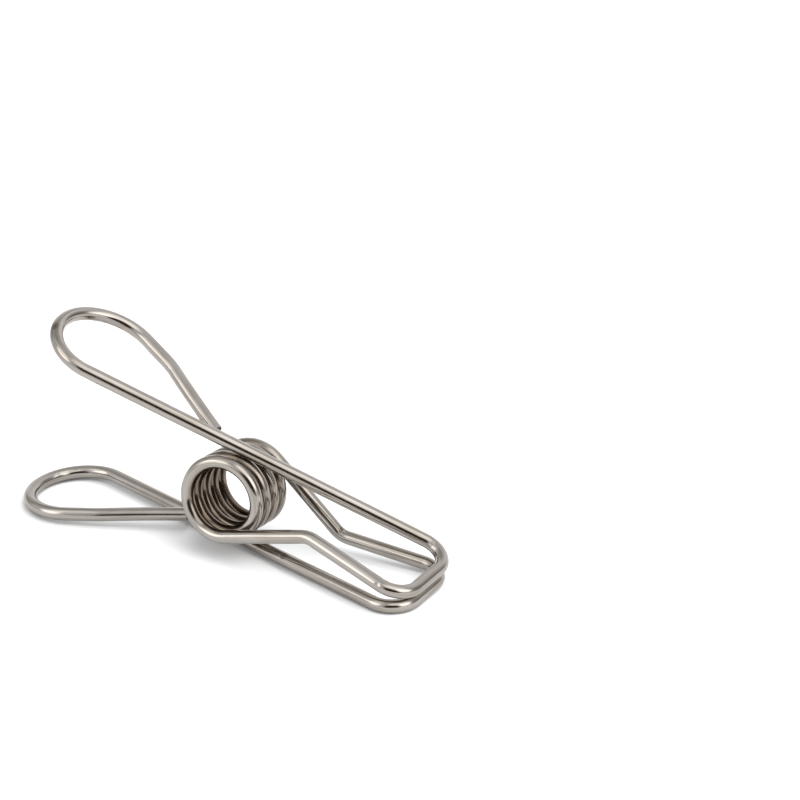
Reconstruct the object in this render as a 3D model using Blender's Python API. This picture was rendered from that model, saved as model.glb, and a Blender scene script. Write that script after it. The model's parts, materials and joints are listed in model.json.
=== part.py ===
"""Wire clothespin: two sprung levers and a torsion coil, all formed from one length of
stainless-steel spring wire.

Row frame: +X towards the jaws, +Z up, the jaw bars along Y. The pin lies on its lower lever,
on the lower jaw bar and the tip of the lower finger loop, at z = 0. The origin is at the
centre of the bottom of the whole object's box.

The wire is worked out in a wire frame first: origin in the middle of the coil, +X along the
line on which the two jaw bars meet. Half a turn about X carries one lever's side onto the
other's. The whole wire is then tilted about Y until it stands on the lower lever.
"""

import math
from typing import NamedTuple

import bmesh
import bpy
import numpy as np

MM = 0.001

# ---- driving dimensions, millimetres and degrees ----
WIRE_D = 1.85  # wire diameter
WIRE_SIDES = 16  # sides of the faceted wire

COIL_R = 5.09  # wire centreline radius of the coil
COIL_PITCH = 1.97  # one turn's advance: the turns nearly touch
COIL_TURNS = 4  # whole turns, followed by the part turn that the return arms leave
COIL_SKEW = -6.1  # the coil's axis leans this far about X from the jaw bars' direction
COIL_STEPS = 28  # steps in one turn

ARM_CLEARANCE = 0.18  # between a long arm and the coil that it crosses
JAW_GAP = 0.04  # between the two jaw bars at rest
CUT_GAP = 0.08  # between one length of wire and the next, along the wire

END_CHAMFER = 0.12  # where the wire is cropped
ARC_STEP = 11.0  # most degrees between two sections in a bend
LEG_TURN_R = 10.0  # bend of the finger loop's leg after its straight
SHARP_ANGLE = 40.0  # edges sharper than this are shaded sharp
TILT_ROUNDS = 20  # more than enough for the tilt, a few degrees, to settle

STEEL_COLOUR = (0.60, 0.585, 0.56, 1.0)
STEEL_ROUGHNESS = 0.24


class Lever(NamedTuple):
    """One lever, drawn on the upper side. Along the wire from the coil: return arm to its
    bend, on to the jaw bar's near corner, along the jaw bar, round its far corner, along the
    long arm over the coil, then round the finger loop to the cropped free end."""

    jaw_x: float
    jaw_far_y: float
    jaw_near_y: float
    jaw_bend_r: float
    bend_x: float  # corner of the return arm, before rounding
    bend_y: float
    bend_z: float
    bend_r: float
    loop_x: float  # where the long arm ends and the loop starts
    loop_y: float
    tip_r: float  # the loop's first arc
    tip_deg: float
    side_r: float  # its second arc
    side_deg: float
    leg_straight: float  # the leg back: a straight, a turn, then a slight recurve
    leg_turn_deg: float
    leg_length: float  # length of the recurve
    leg_recurve_deg: float
    loop_lift_deg: float  # the loop's lift out of the lever's plane


# The two levers are formed alike, with the small differences of bent wire.
UPPER = Lever(
    jaw_x=29.96, jaw_far_y=7.35, jaw_near_y=-6.39, jaw_bend_r=3.38,
    bend_x=14.38, bend_y=-5.08, bend_z=2.23, bend_r=3.31,
    loop_x=-21.86, loop_y=-7.16, tip_r=6.29, tip_deg=135.5,
    side_r=7.82, side_deg=71.0, leg_straight=4.22, leg_turn_deg=12.6,
    leg_length=11.35, leg_recurve_deg=3.54, loop_lift_deg=3.32,
)  # fmt: skip
LOWER = Lever(
    jaw_x=30.06, jaw_far_y=7.11, jaw_near_y=-6.22, jaw_bend_r=3.4,
    bend_x=14.18, bend_y=-5.02, bend_z=2.77, bend_r=3.42,
    loop_x=-22.98, loop_y=-6.3, tip_r=6.64, tip_deg=136.5,
    side_r=6.99, side_deg=78.3, leg_straight=4.11, leg_turn_deg=5.9,
    leg_length=11.8, leg_recurve_deg=3.92, loop_lift_deg=3.71,
)  # fmt: skip

# ---- sizes that follow ----
WIRE_R = WIRE_D / 2
FACET_R = WIRE_R * math.cos(math.pi / WIRE_SIDES)  # from the centreline to a facet
JAW_Z = (WIRE_D + JAW_GAP) / 2
ARM_HEIGHT = COIL_R + WIRE_D + ARM_CLEARANCE  # a lever's plane from the coil's centre
SKEW = math.radians(COIL_SKEW)

X, Y, Z = np.eye(3)


# ---- vectors and bends ----
def unit(vector):
    return vector / np.linalg.norm(vector)


def square_to(tangent, vector):
    """The unit vector square to a unit tangent that lies nearest to the given vector."""
    return unit(vector - tangent * (vector @ tangent))


def turned(points, axis, angle):
    """Points turned about an axis through the origin, by the right-hand rule, in radians."""
    rows = np.atleast_2d(np.asarray(points, float))
    axis = unit(np.asarray(axis, float))
    cos, sin = math.cos(angle), math.sin(angle)
    result = rows * cos + np.cross(axis, rows) * sin + np.outer(rows @ axis, axis) * (1 - cos)
    return result[0] if np.ndim(points) == 1 else result


def half_turn(points):
    """The half turn about X that carries the upper lever's side onto the lower's."""
    return np.asarray(points) * np.array([1.0, -1.0, -1.0])


def rounded(corners, radii):
    """The corners joined by straight lines, with an arc of each radius at each inner corner."""
    path = [corners[0]]
    for before, corner, after, radius in zip(corners, corners[1:], corners[2:], radii):
        back, ahead = unit(before - corner), unit(after - corner)
        bend = math.pi - math.acos(np.clip(back @ ahead, -1, 1))
        start = corner + back * radius * math.tan(bend / 2)
        centre = corner + unit(back + ahead) * radius / math.cos(bend / 2)
        axis = unit(np.cross(-back, ahead))
        steps = max(2, math.ceil(math.degrees(bend) / ARC_STEP))
        path += [
            centre + turned(start - centre, axis, bend * k / steps) for k in range(steps + 1)
        ]
    path.append(corners[-1])
    return path


def flat_direction(angle):
    """The 2D unit vector at an angle in radians."""
    return np.array([math.cos(angle), math.sin(angle)])


def flat_arc(position, heading, radius, degrees):
    """Flat arc from a position: its points after the first, and the heading at its end, in
    degrees. A positive angle turns left."""
    side = math.copysign(1, degrees)
    start = math.radians(heading)
    quarter = math.pi / 2
    centre = position + side * radius * flat_direction(start + quarter)
    steps = max(1, math.ceil(abs(degrees) / ARC_STEP))
    points = []
    for k in range(1, steps + 1):
        angle = start + math.radians(degrees) * k / steps
        points.append(centre - side * radius * flat_direction(angle + quarter))
    return points, heading + degrees


# ---- the coil, in the wire frame ----
def on_coil(angle, along):
    """The point at an angle about the skewed coil axis and a distance along it."""
    point = [COIL_R * math.cos(angle), along, COIL_R * math.sin(angle)]
    return turned(point, X, SKEW)


def coil_start(lever):
    """The angle about the coil's axis at which this lever's return arm runs onto the coil."""
    bend = turned([lever.bend_x, lever.bend_y, lever.bend_z], X, -SKEW)
    reach = math.hypot(bend[0], bend[2])
    return math.atan2(bend[2], bend[0]) - math.acos(COIL_R / reach)


# The wire runs onto the coil from the upper lever's return arm and off it to the lower lever's,
# turning about the coil's axis from the first angle to the last.
FIRST_ANGLE = coil_start(UPPER)
LAST_ANGLE = -coil_start(LOWER) - 2 * math.pi * (COIL_TURNS + 1)
TURNS = (FIRST_ANGLE - LAST_ANGLE) / (2 * math.pi)


def coil_point(turn):
    """A point on the coil's centreline, this many turns after its start."""
    return on_coil(FIRST_ANGLE - 2 * math.pi * turn, COIL_PITCH * (turn - TURNS / 2))


def coil_direction(turn):
    nearby = 0.001  # turns to either side
    return unit(coil_point(turn + nearby) - coil_point(turn - nearby))


def coil_turn(i):
    """The centreline of one turn, or of the last part turn, and its two end directions."""
    length = min(1.0, TURNS - i)
    count = math.ceil(COIL_STEPS * length)
    cut = CUT_GAP / (2 * math.pi * COIL_R)  # in turns
    path = [coil_point(i + cut / 2 + (length - cut) * k / count) for k in range(count + 1)]
    return np.array(path), np.array([coil_direction(i), coil_direction(i + length)])


# ---- a lever, in the wire frame and on the upper side ----
def lever_slope(lever):
    """How far a lever's plane rises from the jaw bar to pass over the coil, in radians."""
    reach = math.hypot(lever.jaw_x, JAW_Z)
    return math.asin(ARM_HEIGHT / reach) - math.atan2(JAW_Z, lever.jaw_x)


def lever_normal(lever):
    """The outward normal of the lever's plane."""
    slope = lever_slope(lever)
    return np.array([math.sin(slope), 0, math.cos(slope)])


def loop_outline(lever, heading):
    """The finger loop drawn flat from (0, 0), which is left out, to the free end."""
    recurve_r = lever.leg_length / math.radians(lever.leg_recurve_deg)
    bends = [  # straight before the bend, its radius, its degrees
        (0, lever.tip_r, lever.tip_deg),
        (0, lever.side_r, lever.side_deg),
        (lever.leg_straight, LEG_TURN_R, lever.leg_turn_deg),
        (0, recurve_r, -lever.leg_recurve_deg),
    ]
    here, outline = np.zeros(2), []
    for straight, radius, degrees in bends:
        here = here + straight * flat_direction(math.radians(heading))
        points, heading = flat_arc(here, heading, radius, degrees)
        outline += points
        here = points[-1]
    return outline


def lever_path(lever):
    """The lever's centreline from the coil to the free end."""
    slope = lever_slope(lever)
    inward = np.array([-math.cos(slope), 0, math.sin(slope)])  # jaw towards handle

    def on_plane(x, y):
        along = (lever.jaw_x - x) / math.cos(slope)
        return np.array([lever.jaw_x, y, JAW_Z]) + inward * along

    start = on_coil(coil_start(lever), -COIL_PITCH * TURNS / 2)
    bend = np.array([lever.bend_x, lever.bend_y, lever.bend_z])
    near = on_plane(lever.jaw_x, lever.jaw_near_y)
    far = on_plane(lever.jaw_x, lever.jaw_far_y)
    loop = on_plane(lever.loop_x, lever.loop_y)
    first = start + unit(bend - start) * CUT_GAP / 2
    radii = [lever.bend_r, lever.jaw_bend_r, lever.jaw_bend_r]
    path = rounded([first, bend, near, far, loop], radii)

    # the finger loop, drawn flat and then lifted a little about Y
    arm = unit(loop - far)
    heading = math.degrees(math.atan2(arm @ Y, arm @ inward))
    lift = math.radians(lever.loop_lift_deg)
    out = inward * math.cos(lift) + lever_normal(lever) * math.sin(lift)
    path += [loop + out * along + Y * across for along, across in loop_outline(lever, heading)]
    return np.array(path)


# ---- standing the wire on the ground ----
def standing_tilt(lower_path, lower_jaw):
    """The tilt about Y that levels the lower jaw bar with the lower loop's tip."""
    tilt = lever_slope(LOWER)
    for _ in range(TILT_ROUNDS):
        loop = turned(lower_path, Y, tilt)
        loop = loop[loop[:, 0] < 0]
        jaw_low = turned(lower_jaw, Y, tilt)[2] - FACET_R
        loop_low = loop[:, 2].min() - WIRE_R
        tilt += (jaw_low - loop_low) / (lower_jaw[0] - loop[:, 0].min())
    return tilt


def coil_location(paths, lower_jaw):
    """The coil's centre in the row frame, in millimetres, from the tilted wire."""
    points = np.vstack(paths)
    middle = (points.min(axis=0) + points.max(axis=0)) / 2
    return np.array([-middle[0], -middle[1], FACET_R - lower_jaw[2]])


# ---- the wire's mesh ----
def path_tangents(path):
    steps = path[1:] - path[:-1]
    steps /= np.linalg.norm(steps, axis=1)[:, None]
    tangents = np.vstack([steps[:1], steps[:-1] + steps[1:], steps[-1:]])
    return tangents / np.linalg.norm(tangents, axis=1)[:, None]


def carried_normals(tangents, start, normal):
    """A normal for each section, carried both ways from the start without twist."""
    normals = np.zeros_like(tangents)
    for order in (range(start, len(tangents)), range(start, -1, -1)):
        carried = normal
        for i in order:
            carried = square_to(tangents[i], carried)
            normals[i] = carried
    return normals


def wire_mesh(name, path, tangents, normals, radii):
    """A closed, faceted wire: one ring at each section, with one facet facing its normal."""
    bm = bmesh.new()
    rings = []
    for point, tangent, normal, radius in zip(path, tangents, normals, radii):
        normal = square_to(tangent, normal)
        across = np.cross(tangent, normal)
        ring = []
        for k in range(WIRE_SIDES):
            angle = math.tau * (k + 0.5) / WIRE_SIDES
            spoke = normal * math.cos(angle) + across * math.sin(angle)
            ring.append(bm.verts.new((point + radius * spoke) * MM))
        rings.append(ring)
    for one, two in zip(rings, rings[1:]):
        for k in range(WIRE_SIDES):
            j = (k + 1) % WIRE_SIDES
            bm.faces.new((one[k], one[j], two[j], two[k]))
    bm.faces.new(rings[0])
    bm.faces.new(rings[-1])
    bmesh.ops.recalc_face_normals(bm, faces=bm.faces)
    mesh = bpy.data.meshes.new(name)
    bm.to_mesh(mesh)
    bm.free()
    mesh.shade_smooth()
    mesh.set_sharp_from_angle(angle=math.radians(SHARP_ANGLE))
    return mesh


def steel():
    material = bpy.data.materials.new("spring_steel")
    material.use_nodes = True
    shader = material.node_tree.nodes["Principled BSDF"]
    shader.inputs["Base Color"].default_value = STEEL_COLOUR
    shader.inputs["Roughness"].default_value = STEEL_ROUGHNESS
    shader.inputs["Metallic"].default_value = 1.0
    return material


# ---- the pieces: each object's origin is the coil's centre ----
def add_wire(name, location, path, tangents, normals, radii):
    obj = bpy.data.objects.new(name, wire_mesh(name, path, tangents, normals, radii))
    obj.data.materials.append(steel())
    obj.location = location
    bpy.context.scene.collection.objects.link(obj)


def add_lever(name, location, path, jaw, normal):
    """A lever with a facet facing the normal at the jaw, and its free end chamfered."""
    taper = path[-1] + unit(path[-2] - path[-1]) * END_CHAMFER
    path = np.vstack([path[:-1], taper, path[-1]])
    tangents = path_tangents(path)
    start = int(np.argmin(np.linalg.norm(path - jaw, axis=1)))
    normals = carried_normals(tangents, start, normal)
    radii = [WIRE_R] * (len(path) - 1) + [WIRE_R - END_CHAMFER]
    add_wire(name, location, path, tangents, normals, radii)


def add_turn(name, location, path, ends, axis):
    """One turn of the coil, with a facet facing along the coil's axis throughout."""
    tangents = path_tangents(path)
    tangents[0], tangents[-1] = ends
    add_wire(name, location, path, tangents, [axis] * len(path), [WIRE_R] * len(path))


def build():
    for obj in list(bpy.data.objects):
        bpy.data.objects.remove(obj, do_unlink=True)

    upper, lower = lever_path(UPPER), half_turn(lever_path(LOWER))
    jaw_up = np.array([LOWER.jaw_x, (LOWER.jaw_far_y + LOWER.jaw_near_y) / 2, JAW_Z])
    jaw_down = half_turn(jaw_up)

    tilt = standing_tilt(lower, jaw_down)
    upper, lower = turned(upper, Y, tilt), turned(lower, Y, tilt)
    jaw_up, jaw_down = turned(jaw_up, Y, tilt), turned(jaw_down, Y, tilt)
    turns = []
    for i in range(COIL_TURNS + 1):
        path, ends = coil_turn(i)
        turns.append((turned(path, Y, tilt), turned(ends, Y, tilt)))
    centre = coil_location([upper, lower, *(path for path, _ in turns)], jaw_down) * MM

    add_lever("lower_lever", centre, lower, jaw_down, -Z)
    add_lever("upper_lever", centre, upper, jaw_up, turned(lever_normal(UPPER), Y, tilt))
    coil_axis = turned(turned(Y, X, SKEW), Y, tilt)
    for i, (path, ends) in enumerate(turns):
        add_turn(f"coil_turn_{i + 1}", centre, path, ends, coil_axis)


build()
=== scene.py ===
"""Looks of a wire clothespin: one round, drawn steel wire, swept along the same centreline as the
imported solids, with a bright steel material, a pale floor and soft light.

In the row frame the jaws are at +X, the finger loops at -X, and the coil lies across between
them, its axis near Y; the floor is z = 0. The wire is first laid out in a wire frame with the
coil's centre at the origin, then tilted about Y and moved into the row frame."""

import json
import math

import bmesh
import bpy
import numpy as np
from mathutils import Matrix, Vector


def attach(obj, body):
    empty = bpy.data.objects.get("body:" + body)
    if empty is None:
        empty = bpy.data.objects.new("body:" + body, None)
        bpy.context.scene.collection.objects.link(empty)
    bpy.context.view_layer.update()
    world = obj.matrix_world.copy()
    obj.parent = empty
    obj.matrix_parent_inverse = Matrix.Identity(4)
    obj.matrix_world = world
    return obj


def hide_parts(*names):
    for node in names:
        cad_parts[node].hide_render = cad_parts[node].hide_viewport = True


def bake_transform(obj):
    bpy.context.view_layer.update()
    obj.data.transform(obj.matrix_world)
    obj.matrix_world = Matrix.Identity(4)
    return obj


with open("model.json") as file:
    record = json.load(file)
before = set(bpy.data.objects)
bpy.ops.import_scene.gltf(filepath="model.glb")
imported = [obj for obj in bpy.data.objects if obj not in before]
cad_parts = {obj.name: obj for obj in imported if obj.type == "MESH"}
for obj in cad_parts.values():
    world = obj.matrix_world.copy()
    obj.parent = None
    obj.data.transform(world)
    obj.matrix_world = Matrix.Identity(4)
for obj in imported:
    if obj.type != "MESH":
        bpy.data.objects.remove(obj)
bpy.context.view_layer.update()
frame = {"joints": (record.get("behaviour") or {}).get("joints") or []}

MM = 0.001
X, Y, Z = np.eye(3)

# ---- dimensions of the wire, in millimetres and degrees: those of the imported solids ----
WIRE_D = 1.85
COIL_R = 5.09  # of the centreline, as all radii here
COIL_PITCH = 1.97
COIL_TURNS = 4  # whole turns; part of a fifth leads to the levers
COIL_SKEW = -6.1  # of the coil's axis, about X
ARM_CLEARANCE = 0.18  # between the coil and the arm that passes it
JAW_GAP = 0.04
LEG_TURN_R = 10.0
# Each lever leaves the coil, bends, crosses at the jaw and runs back past the coil to its loop.
# The lower lever is given as the upper one is, before its half turn about X.
UPPER = {
    "jaw_x": 29.96, "jaw_far_y": 7.35, "jaw_near_y": -6.39, "jaw_bend_r": 3.38,
    "bend_x": 14.38, "bend_y": -5.08, "bend_z": 2.23, "bend_r": 3.31,
    "loop_x": -21.86, "loop_y": -7.16, "loop_tip_r": 6.29, "loop_tip_deg": 135.5,
    "loop_side_r": 7.82, "loop_side_deg": 71.0, "leg_straight": 4.22, "leg_turn_deg": 12.6,
    "leg_length": 11.35, "leg_recurve_deg": 3.54, "loop_lift_deg": 3.32,
}  # fmt: skip
LOWER = {
    "jaw_x": 30.06, "jaw_far_y": 7.11, "jaw_near_y": -6.22, "jaw_bend_r": 3.4,
    "bend_x": 14.18, "bend_y": -5.02, "bend_z": 2.77, "bend_r": 3.42,
    "loop_x": -22.98, "loop_y": -6.3, "loop_tip_r": 6.64, "loop_tip_deg": 136.5,
    "loop_side_r": 6.99, "loop_side_deg": 78.3, "leg_straight": 4.11, "leg_turn_deg": 5.9,
    "leg_length": 11.8, "leg_recurve_deg": 3.92, "loop_lift_deg": 3.71,
}  # fmt: skip

WIRE_R = WIRE_D / 2
JAW_Z = (WIRE_D + JAW_GAP) / 2
ARM_HEIGHT = COIL_R + WIRE_D + ARM_CLEARANCE  # of the arm's plane from the coil's centre

# ---- fineness of the mesh ----
SIDES = 56  # points round the wire
BEND_STEP = 2.5  # degrees between two sections in a bend
MIN_BEND_STEPS = 4
STRAIGHT_STEP = 0.2  # mm between two sections in a straight
COIL_STEP = 0.3  # mm between two sections in the coil

# ---- small presses in the surface ----
# place in the row frame, side it faces, length along the wire (mm), width (radians), depth (mm),
# dullness
MARKS = [
    # nick before the upper jaw bar
    ((27.9, -5.6, 3.8), (0.5, -0.9, 0.1), 0.22, 0.55, 0.060, 0.0),
    # at that bar's far corner
    ((29.0, 6.6, 3.9), (0.1, -0.7, 0.6), 0.26, 0.50, 0.040, 0.0),
    # notch in the lower bend
    ((15.0, 5.5, 3.0), (0.5, -0.2, 0.9), 0.30, 0.80, 0.075, 0.9),
    # nick on the lower arm
    ((10.8, -1.7, 1.1), (0.4, -0.5, 0.8), 0.30, 0.50, 0.045, 0.6),
    # tip of the upper loop
    ((-23.0, -4.1, 27.8), (0.3, -0.8, 0.5), 0.60, 0.45, 0.030, 0.9),
]
MARK_REACH = 2.5  # lengths from its middle at which a mark ends

BEND_SQUEEZE = 0.055  # share of the radius lost, per unit of curvature (1/mm)
MAX_CURVATURE = 0.32  # 1/mm, beyond which the squeeze no longer grows

# ---- the cropped ends: the wire narrows to a leaning, slightly dished face ----
CROP_LEAN = 0.10  # push along the wire at the rim, as a share of the radius
CROP_LEAN_TOWARDS = 0.9  # radians round the wire
# share of the radius, distance in from the end (mm), share of the lean, wear
CROP_SECTIONS = [
    (1.0, 0.20, 0.2, 0.15),
    (0.985, 0.10, 0.6, 0.5),
    (0.945, 0.04, 0.9, 0.9),
    (0.87, 0.0, 1.0, 1.0),
    (0.70, 0.012, 1.0, 1.0),
    (0.50, 0.020, 1.0, 1.0),
    (0.30, 0.012, 1.0, 1.0),
    (0.12, 0.010, 1.0, 1.0),
]


# ---- the centreline ----
def unit(vector):
    return vector / np.linalg.norm(vector)


def turned(points, axis, angle):
    """One point or many, turned about an axis through the origin."""
    rows = np.atleast_2d(np.asarray(points, float))
    axis = unit(np.asarray(axis, float))
    cos, sin = math.cos(angle), math.sin(angle)
    out = rows * cos + np.cross(axis, rows) * sin + np.outer(rows @ axis, axis) * (1 - cos)
    return out[0] if np.ndim(points) == 1 else out


def straight(start, end):
    """Points from start to end, without start itself."""
    count = max(1, math.ceil(np.linalg.norm(end - start) / STRAIGHT_STEP))
    return [start + (end - start) * k / count for k in range(1, count + 1)]


def rounded(corners, radii):
    """Straights through the corners, with an arc at each inner corner."""
    path = [corners[0]]
    for before, corner, after, radius in zip(corners, corners[1:], corners[2:], radii):
        back, onward = unit(before - corner), unit(after - corner)
        bend = math.pi - math.acos(np.clip(back @ onward, -1, 1))
        start = corner + back * radius * math.tan(bend / 2)
        middle = corner + unit(back + onward) * radius / math.cos(bend / 2)
        axis = unit(np.cross(-back, onward))
        path += straight(path[-1], start)
        count = max(MIN_BEND_STEPS, math.ceil(math.degrees(bend) / BEND_STEP))
        path += [
            middle + turned(start - middle, axis, bend * k / count)
            for k in range(1, count + 1)
        ]
    return path + straight(path[-1], corners[-1])


def arc(start, heading, radius, degrees):
    """Points of an arc in a plane, without its start, and the heading at its end."""
    side = math.copysign(1, degrees)

    def spoke(angle):
        return side * radius * np.array([-math.sin(angle), math.cos(angle)])

    first, sweep = math.radians(heading), math.radians(degrees)
    middle = start + spoke(first)
    count = max(
        MIN_BEND_STEPS,
        math.ceil(abs(degrees) / BEND_STEP),
        math.ceil(radius * abs(sweep) / STRAIGHT_STEP),
    )
    points = [middle - spoke(first + sweep * k / count) for k in range(1, count + 1)]
    return points, heading + degrees


def coil_start(lever):
    """The angle round the coil at which the wire to the lever's bend leaves it."""
    bend = [lever["bend_x"], lever["bend_y"], lever["bend_z"]]
    x, _, z = turned(bend, X, -math.radians(COIL_SKEW))
    return math.atan2(z, x) - math.acos(COIL_R / math.hypot(x, z))


FIRST_ANGLE = coil_start(UPPER)
LAST_ANGLE = -coil_start(LOWER) - math.tau * (COIL_TURNS + 1)
TURNS = (FIRST_ANGLE - LAST_ANGLE) / math.tau


def coil_point(angle, turn):
    """A point of the coil at an angle round it, a number of turns from its upper-lever end."""
    y = COIL_PITCH * (turn - TURNS / 2)
    point = [COIL_R * math.cos(angle), y, COIL_R * math.sin(angle)]
    return turned(point, X, math.radians(COIL_SKEW))


def lever_path(lever):
    """From the coil to the cropped end, in the wire frame."""
    jaw_x = lever["jaw_x"]
    slope = math.asin(ARM_HEIGHT / math.hypot(jaw_x, JAW_Z)) - math.atan2(JAW_Z, jaw_x)
    inward = np.array([-math.cos(slope), 0, math.sin(slope)])  # from the jaw, up the arm's plane
    normal = np.array([math.sin(slope), 0, math.cos(slope)])

    def on_plane(x, y):
        return np.array([jaw_x, y, JAW_Z]) + inward * (jaw_x - x) / math.cos(slope)

    start = coil_point(coil_start(lever), 0)
    bend = np.array([lever["bend_x"], lever["bend_y"], lever["bend_z"]])
    near = on_plane(jaw_x, lever["jaw_near_y"])
    far = on_plane(jaw_x, lever["jaw_far_y"])
    loop = on_plane(lever["loop_x"], lever["loop_y"])
    path = rounded(
        [start, bend, near, far, loop],
        [lever["bend_r"], lever["jaw_bend_r"], lever["jaw_bend_r"]],
    )

    # The loop is drawn flat, then lifted a little out of the arm's plane.
    arm = unit(loop - far)
    heading = math.degrees(math.atan2(arm @ Y, arm @ inward))
    flat = [np.zeros(2)]

    def run(radius, degrees):
        nonlocal heading
        points, heading = arc(flat[-1], heading, radius, degrees)
        flat.extend(points)

    run(lever["loop_tip_r"], lever["loop_tip_deg"])
    run(lever["loop_side_r"], lever["loop_side_deg"])
    ahead = math.radians(heading)
    leg = lever["leg_straight"] * np.array([math.cos(ahead), math.sin(ahead)])
    flat.extend(straight(flat[-1], flat[-1] + leg))
    run(LEG_TURN_R, lever["leg_turn_deg"])
    recurve = lever["leg_recurve_deg"]
    run(lever["leg_length"] / math.radians(recurve), -recurve)

    lift = math.radians(lever["loop_lift_deg"])
    out = inward * math.cos(lift) + normal * math.sin(lift)
    path += [loop + out * a + Y * b for a, b in flat[1:]]
    return np.array(path)


upper = lever_path(UPPER)[::-1]  # cropped end to coil
lower = lever_path(LOWER) * np.array([1.0, -1.0, -1.0])  # coil to cropped end, half turned
coil_count = round(TURNS * math.tau * COIL_R / COIL_STEP)
coil_turns = [TURNS * k / coil_count for k in range(coil_count + 1)]
coil = np.array([coil_point(FIRST_ANGLE - math.tau * turn, turn) for turn in coil_turns])
wire = np.vstack([upper, coil[1:-1], lower])
COIL_FIRST = len(upper) - 1
COIL_LAST = COIL_FIRST + coil_count

# Into the row frame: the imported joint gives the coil's centre and axis.
opening = next(j for j in frame["joints"] if j["name"] == "jaw_opening")
centre = np.array(opening["pos_m"]) / MM
joint_axis = -np.array(opening["axis"])
skewed = turned(Y, X, math.radians(COIL_SKEW))
tilt = math.atan2(joint_axis[0], joint_axis[2]) - math.atan2(skewed[0], skewed[2])
wire = turned(wire, Y, tilt) + centre
coil_axis = turned(skewed, Y, tilt)

# ---- frames along the wire, without twist, and the distance along it ----
steps = np.diff(wire, axis=0)
lengths = np.linalg.norm(steps, axis=1)
along = np.concatenate([[0], np.cumsum(lengths)])
steps /= lengths[:, None]
tangents = np.vstack([steps[:1], steps[:-1] + steps[1:], steps[-1:]])
tangents /= np.linalg.norm(tangents, axis=1)[:, None]
normals = np.zeros_like(wire)
normal = unit(np.cross(tangents[0], X + 0.3 * Z))
for i, tangent in enumerate(tangents):
    normal = unit(normal - tangent * (normal @ tangent))
    normals[i] = normal
binormals = np.cross(tangents, normals)
angles = np.arange(SIDES) * math.tau / SIDES


def curvature_at(i):
    """The direction towards the centre of a bend at section i, and the bend's curvature."""
    a, b = max(i - 2, 0), min(i + 2, len(wire) - 1)
    turn = tangents[b] - tangents[a]
    size = np.linalg.norm(turn) / (along[b] - along[a])
    return (unit(turn) if size > 1e-4 else normals[i]), size


bend_sides, curvatures = zip(*[curvature_at(i) for i in range(len(wire))])
smoothing = np.hanning(13)
curvatures = np.convolve(np.pad(curvatures, 6, "edge"), smoothing / smoothing.sum(), "valid")

# each mark's distance along the wire, in place of its point
marks = [
    (along[np.argmin(np.linalg.norm(wire - np.array(place), axis=1))], unit(np.array(facing)), *rest)
    for place, facing, *rest in MARKS
]


# ---- the surface of the wire ----
def angle_round(i, direction):
    return math.atan2(direction @ binormals[i], direction @ normals[i])


def marks_at(i):
    """For each mark that reaches section i: its strength on each side, depth and dullness."""
    for middle, facing, length, width, depth, dullness in marks:
        distance = (along[i] - middle) / length
        if abs(distance) < MARK_REACH:
            aside = (angles - angle_round(i, facing) + math.pi) % math.tau - math.pi
            yield math.exp(-(distance**4)) * np.exp(-((aside / width) ** 2)), depth, dullness


def section_radii(i):
    """The radius of section i on each side, and how much duller the marks leave it there."""
    # a bend narrows the section a little, towards its centre and away from it
    squeeze = BEND_SQUEEZE * min(curvatures[i], MAX_CURVATURE) * WIRE_R
    radii = WIRE_R - squeeze * (1 + np.cos(2 * (angles - angle_round(i, bend_sides[i]))))
    dullness = np.zeros(SIDES)
    for strength, depth, mark_dullness in marks_at(i):
        radii -= depth * strength
        dullness = np.maximum(dullness, mark_dullness * strength)
    return radii, dullness


def coil_painted_shade(i, spoke):
    """How far a spot of the coil faces its axis or the next turn, 0 to 1: painted shade, darker
    there.
    """
    if not COIL_FIRST <= i <= COIL_LAST:
        return 0.0
    out = wire[i] - centre
    out = unit(out - coil_axis * (out @ coil_axis))
    fade = min(1.0, min(i - COIL_FIRST, COIL_LAST - i) / 12)  # over the coil's end sections
    turn = (i - COIL_FIRST) / coil_count * TURNS
    # past most of the first turn the painted shade of the hollow reaches further round, and all is
    # given a little painted shade
    inside_edge, least = (-0.05, 0.24) if turn > 0.9 else (-0.35, 0.0)
    inside = max(0.0, min(1.0, (inside_edge - spoke @ out) / 0.6))
    beside = spoke @ coil_axis  # towards the next turn, or the one before
    has_neighbour = (beside > 0 and turn < TURNS - 1) or (beside < 0 and turn > 1)
    gap = max(0.0, (abs(beside) - 0.32) / 0.45) if has_neighbour else 0.0
    return max(inside, min(1.0, gap), least) * fade


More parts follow.
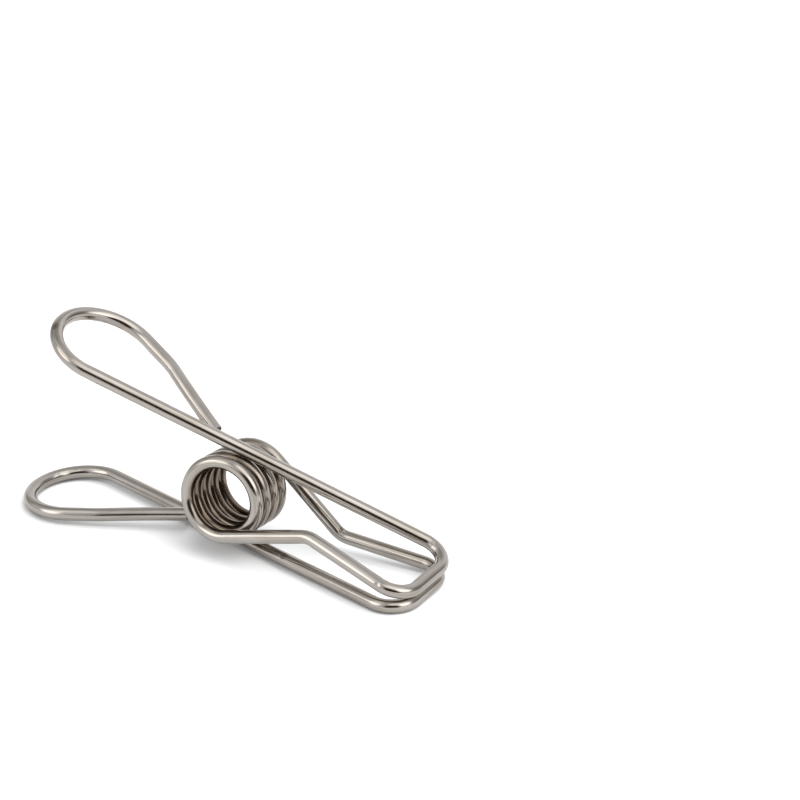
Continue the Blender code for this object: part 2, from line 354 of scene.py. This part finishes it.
def piece(name, first, last, cropped=None):
    """The wire between two sections as a closed mesh. cropped is "first" or "last" when that
    end is a cropped end of the wire."""
    bm = bmesh.new()
    wire_layer = bm.verts.layers.float_vector.new("wire")  # place across and along the wire, mm
    lay_layer = bm.verts.layers.float_vector.new("lay")  # direction of the wire
    worn_layer = bm.verts.layers.float.new("worn")  # 1 on a cropped face
    # how much darker the steel is painted, 0 to 1: painted shade in the coil's hollow and between its
    # turns, and the duller steel of the marks
    painted_shade_and_marks_layer = bm.verts.layers.float.new("painted_shade_and_marks")

    def ring(i, scale=1.0, shift=0.0, lean=0.0, wear=0.0):
        radii, dullness = section_radii(i)
        radius = WIRE_R * scale
        verts = []
        for k, angle in enumerate(angles):
            spoke = normals[i] * math.cos(angle) + binormals[i] * math.sin(angle)
            push = shift + lean * math.cos(angle - CROP_LEAN_TOWARDS) * radius
            vert = bm.verts.new((wire[i] + spoke * radii[k] * scale + tangents[i] * push) * MM)
            vert[wire_layer] = (
                radius * math.cos(angle),
                radius * math.sin(angle),
                along[i] + shift,
            )
            vert[lay_layer] = tangents[i]
            vert[worn_layer] = wear
            # the greater of the coil's painted shade and a mark's dullness
            vert[painted_shade_and_marks_layer] = max(coil_painted_shade(i, spoke), dullness[k])
            verts.append(vert)
        return verts

    rings = [ring(i) for i in range(first, last + 1)]
    if cropped:
        at_first = cropped == "first"
        i, inward = (first, 1.0) if at_first else (last, -1.0)
        crop = [
            ring(i, scale, inward * shift, inward * CROP_LEAN * lean, wear)
            for scale, shift, lean, wear in CROP_SECTIONS
        ]
        # the crop takes the place of the end section
        bmesh.ops.delete(bm, geom=rings.pop(0 if at_first else -1), context="VERTS")
        rings = crop[::-1] + rings if at_first else rings + crop

    for one, two in zip(rings, rings[1:]):
        for k in range(SIDES):
            j = (k + 1) % SIDES
            bm.faces.new((one[k], one[j], two[j], two[k]))
    bm.faces.new(rings[0])
    bm.faces.new(rings[-1])
    bmesh.ops.recalc_face_normals(bm, faces=bm.faces)
    mesh = bpy.data.meshes.new(name)
    bm.to_mesh(mesh)
    bm.free()
    mesh.shade_smooth()
    mesh.set_sharp_from_angle(angle=math.radians(50))
    return add_object(name, mesh)


def add_object(name, data):
    obj = bpy.data.objects.new(name, data)
    bpy.context.scene.collection.objects.link(obj)
    return obj


# ---- node helpers ----
def feed(tree, socket, value):
    """Links a socket to an input, or sets the input to a plain value."""
    if isinstance(value, bpy.types.NodeSocket):
        tree.links.new(value, socket)
    else:
        socket.default_value = value


def mix_colours(tree, factor, below, over, blend="MIX"):
    mix = tree.nodes.new("ShaderNodeMix")
    mix.data_type = "RGBA"
    mix.blend_type = blend
    # inputs 0, 6 and 7 are the factor and the two colours
    for index, value in ((0, factor), (6, below), (7, over)):
        feed(tree, mix.inputs[index], value)
    return mix.outputs[2]


# ---- materials ----
def steel_material():
    """Bright drawn stainless wire: fine lines along the wire, cloudier patches, darker in the lines,
    duller steel at the marks, painted shade in the coil's hollow and between its turns, and a torn,
    matt look where the wire is cropped."""
    material = bpy.data.materials.new("drawn_steel")
    material.use_nodes = True
    tree = material.node_tree
    shader = tree.nodes["Principled BSDF"]

    def attribute(name, output):
        made = tree.nodes.new("ShaderNodeAttribute")
        made.attribute_name = name
        return made.outputs[output]

    def noise(stretch, scale, detail, roughness):
        """Noise in the wire's own coordinates; the smaller the stretch, the longer along it."""
        place = tree.nodes.new("ShaderNodeVectorMath")
        place.operation = "MULTIPLY"
        place.inputs[1].default_value = (1.0, 1.0, stretch)
        tree.links.new(wire_at, place.inputs[0])
        made = tree.nodes.new("ShaderNodeTexNoise")
        made.inputs["Scale"].default_value = scale
        made.inputs["Detail"].default_value = detail
        made.inputs["Roughness"].default_value = roughness
        tree.links.new(place.outputs["Vector"], made.inputs["Vector"])
        return made.outputs["Fac"]

    def ramp(value, *stops):
        made = tree.nodes.new("ShaderNodeValToRGB")
        elements = made.color_ramp.elements
        while len(elements) < len(stops):
            elements.new(0.5)
        for element, (position, colour) in zip(elements, stops):
            element.position = position
            element.color = (*colour, 1.0)
        tree.links.new(value, made.inputs["Fac"])
        return made.outputs["Color"]

    def calc(operation, *values):
        made = tree.nodes.new("ShaderNodeMath")
        made.operation = operation
        for socket, value in zip(made.inputs, values):
            feed(tree, socket, value)
        return made.outputs[0]

    wire_at = attribute("wire", "Vector")
    worn = attribute("worn", "Fac")
    painted_shade_and_marks = attribute("painted_shade_and_marks", "Fac")
    lines = noise(stretch=0.012, scale=6.5, detail=4.0, roughness=0.62)  # drawing lines
    bands = noise(stretch=0.03, scale=1.6, detail=2.0, roughness=0.5)  # broader than the lines
    cloud = noise(stretch=0.35, scale=0.55, detail=3.0, roughness=0.55)
    specks = noise(stretch=0.8, scale=7.0, detail=2.0, roughness=0.6)

    tone = ramp(
        lines,
        (0.30, (0.30, 0.268, 0.232)),
        (0.48, (0.43, 0.402, 0.370)),
        (0.70, (0.51, 0.486, 0.456)),
    )
    cloudy = ramp(cloud, (0.30, (0.84, 0.82, 0.79)), (0.62, (1.0, 1.0, 1.0)))
    tone = mix_colours(tree, 1.0, tone, cloudy, blend="MULTIPLY")
    # painted shade in the coil's hollow and between its turns, and the duller steel of the marks,
    # darken the tone
    painted_shade_and_marks_tone = ramp(painted_shade_and_marks, (0.0, (1.0, 1.0, 1.0)), (1.0, (0.46, 0.395, 0.34)))
    tone = mix_colours(tree, 1.0, tone, painted_shade_and_marks_tone, blend="MULTIPLY")
    torn = ramp(specks, (0.35, (0.20, 0.185, 0.17)), (0.65, (0.42, 0.40, 0.375)))
    tone = mix_colours(tree, worn, tone, torn)
    feed(tree, shader.inputs["Base Color"], tone)

    # roughness: a base of 0.055, and a share each for the lines, the cloud and the wear
    rough = calc("MULTIPLY_ADD", lines, 0.09, 0.055)
    rough = calc("ADD", rough, calc("MULTIPLY", cloud, 0.07))
    rough = calc("ADD", rough, calc("MULTIPLY", worn, 0.25))
    feed(tree, shader.inputs["Roughness"], rough)
    shader.inputs["Metallic"].default_value = 1.0

    # relief: heights of the lines, the bands and the torn specks, in bump distances
    height = calc("ADD", calc("MULTIPLY", lines, 0.6), calc("MULTIPLY", bands, 1.2))
    torn_height = calc("MULTIPLY", calc("MULTIPLY", specks, worn), 6.0)
    height = calc("ADD", height, torn_height)
    bump = tree.nodes.new("ShaderNodeBump")
    bump.inputs["Strength"].default_value = 1.0
    bump.inputs["Distance"].default_value = 0.000012
    feed(tree, bump.inputs["Height"], height)
    feed(tree, shader.inputs["Normal"], bump.outputs["Normal"])
    return material


def paper_material():
    """Matt paper, lighter to the camera than to the wire that mirrors it: a studio trick, not
    how paper behaves."""
    material = bpy.data.materials.new("paper")
    material.use_nodes = True
    tree = material.node_tree
    shader = tree.nodes["Principled BSDF"]
    shader.inputs["Roughness"].default_value = 0.9
    shader.inputs["Specular IOR Level"].default_value = 0.0
    seen = tree.nodes.new("ShaderNodeLightPath").outputs["Is Camera Ray"]
    mirrored_tone = (0.66, 0.665, 0.67, 1.0)
    seen_tone = (0.850, 0.861, 0.875, 1.0)
    feed(tree, shader.inputs["Base Color"], mix_colours(tree, seen, mirrored_tone, seen_tone))
    return material


# ---- the pieces: the wire in three lengths; each lever's length goes with its lever ----
steel = steel_material()
upper_wire = piece("upper_wire", 0, COIL_FIRST, "first")
coil_wire = piece("coil_wire", COIL_FIRST, COIL_LAST)
lower_wire = piece("lower_wire", COIL_LAST, len(wire) - 1, "last")
for obj in (upper_wire, coil_wire, lower_wire):
    obj.data.materials.append(steel)

for obj, lever_name in ((upper_wire, "upper_lever"), (lower_wire, "lower_lever")):
    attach(obj, lever_name)
    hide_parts(lever_name)
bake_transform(coil_wire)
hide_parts(*[f"coil_turn_{k}" for k in range(1, COIL_TURNS + 2)])

# ---- camera ----
CAMERA_AT = Vector((0.18527397, -0.26497139, 0.17312386))
CAMERA_RIGHT = Vector((0.86177901, 0.50720307, -0.00905424))
CAMERA_UP = Vector((-0.20932017, 0.37179675, 0.90440712))
CAMERA_LOOK = Vector((-0.46208441, 0.77750384, -0.42657447))
camera = add_object("camera", bpy.data.cameras.new("camera"))
camera.data.sensor_width = 36.0
camera.data.lens = 121.52
camera.data.clip_start, camera.data.clip_end = 0.01, 20.0
columns = zip(CAMERA_RIGHT, CAMERA_UP, -CAMERA_LOOK, CAMERA_AT)
camera.matrix_world = Matrix([*columns, (0, 0, 0, 1)])
bpy.context.scene.camera = camera

# ---- floor ----
FLOOR_HALF = 3
FLOOR_Z = -0.00001  # just under the wire
floor_corners = [(x * FLOOR_HALF, y * FLOOR_HALF, 0) for x, y in ((-1, -1), (1, -1), (1, 1), (-1, 1))]
floor_mesh = bpy.data.meshes.new("floor")
floor_mesh.from_pydata(floor_corners, [], [(0, 1, 2, 3)])
floor = add_object("floor", floor_mesh)
floor.location.z = FLOOR_Z
floor_mesh.materials.append(paper_material())

# ---- light: directions as the camera sees them, level with the floor ----
ahead = Vector((CAMERA_LOOK.x, CAMERA_LOOK.y, 0)).normalized()
right = Vector((ahead.y, -ahead.x, 0))
up = Vector((0, 0, 1))

overhead_lamp = bpy.data.lights.new("overhead", "AREA")
overhead_lamp.shape = "RECTANGLE"
overhead_lamp.size = overhead_lamp.size_y = 0.80
overhead_lamp.energy = 4.6
overhead = add_object("overhead", overhead_lamp)
overhead.location = right * 0.30 - ahead * 0.06 + up * 0.56
lamp_aim = Vector((0, 0, 0.01)) - overhead.location
overhead.rotation_mode = "QUATERNION"
overhead.rotation_quaternion = lamp_aim.to_track_quat("-Z", "Y")
overhead.visible_glossy = False

# What the wire mirrors: an even pale surround and eleven soft lobes, later ones over earlier.
# All were chosen for the tones they leave on the wire, and don't stand for known lamps or things.
ROOM_COLOUR = (0.885, 0.885, 0.90)
# azimuth to the right of the camera's side, elevation, angle of full strength, angle where it
# ends (all degrees), colour
LOBES = [
    (38, 60, 5, 37, (0.56, 0.55, 0.54)),
    (-153, 50, 18, 36, (0.51, 0.50, 0.49)),
    (163, -17, 44, 71, (1.05, 1.05, 1.07)),
    (-132, 14, 0, 24, (0.51, 0.50, 0.48)),
    (94, 12, 4, 38, (0.35, 0.34, 0.325)),
    (-65, 26, 13, 25, (2.65, 2.62, 2.57)),
    (-63, 51, 2, 19, (1.60, 1.59, 1.57)),
    (16, 57, 9, 24, (1.80, 1.78, 1.75)),
    (50, 33, 11, 26, (2.70, 2.67, 2.62)),
    (60, 64, 9, 22, (1.95, 1.93, 1.90)),
    (0, 13, 22, 31, (0.060, 0.040, 0.028)),
]

world = bpy.data.worlds.new("studio")
bpy.context.scene.world = world
world.use_nodes = True
sky_tree = world.node_tree
background = sky_tree.nodes["Background"]
coords = sky_tree.nodes.new("ShaderNodeTexCoord")


def lobe(azimuth, elevation, inner, outer):
    """1 within the inner angle of a direction, falling to 0 at the outer angle."""
    a, e = math.radians(azimuth), math.radians(elevation)
    level = -ahead * math.cos(a) + right * math.sin(a)
    dot = sky_tree.nodes.new("ShaderNodeVectorMath")
    dot.operation = "DOT_PRODUCT"
    dot.inputs[1].default_value = level * math.cos(e) + up * math.sin(e)
    sky_tree.links.new(coords.outputs["Generated"], dot.inputs[0])
    fall = sky_tree.nodes.new("ShaderNodeMapRange")
    fall.interpolation_type = "SMOOTHSTEP"
    fall.inputs["From Min"].default_value = math.cos(math.radians(outer))
    fall.inputs["From Max"].default_value = math.cos(math.radians(inner))
    sky_tree.links.new(dot.outputs["Value"], fall.inputs["Value"])
    return fall.outputs["Result"]


sky = (*ROOM_COLOUR, 1)
for *shape, colour in LOBES:
    sky = mix_colours(sky_tree, lobe(*shape), sky, (*colour, 1))
sky_tree.links.new(sky, background.inputs["Color"])
background.inputs["Strength"].default_value = 1.0

bpy.context.scene.view_settings.view_transform = "Standard"
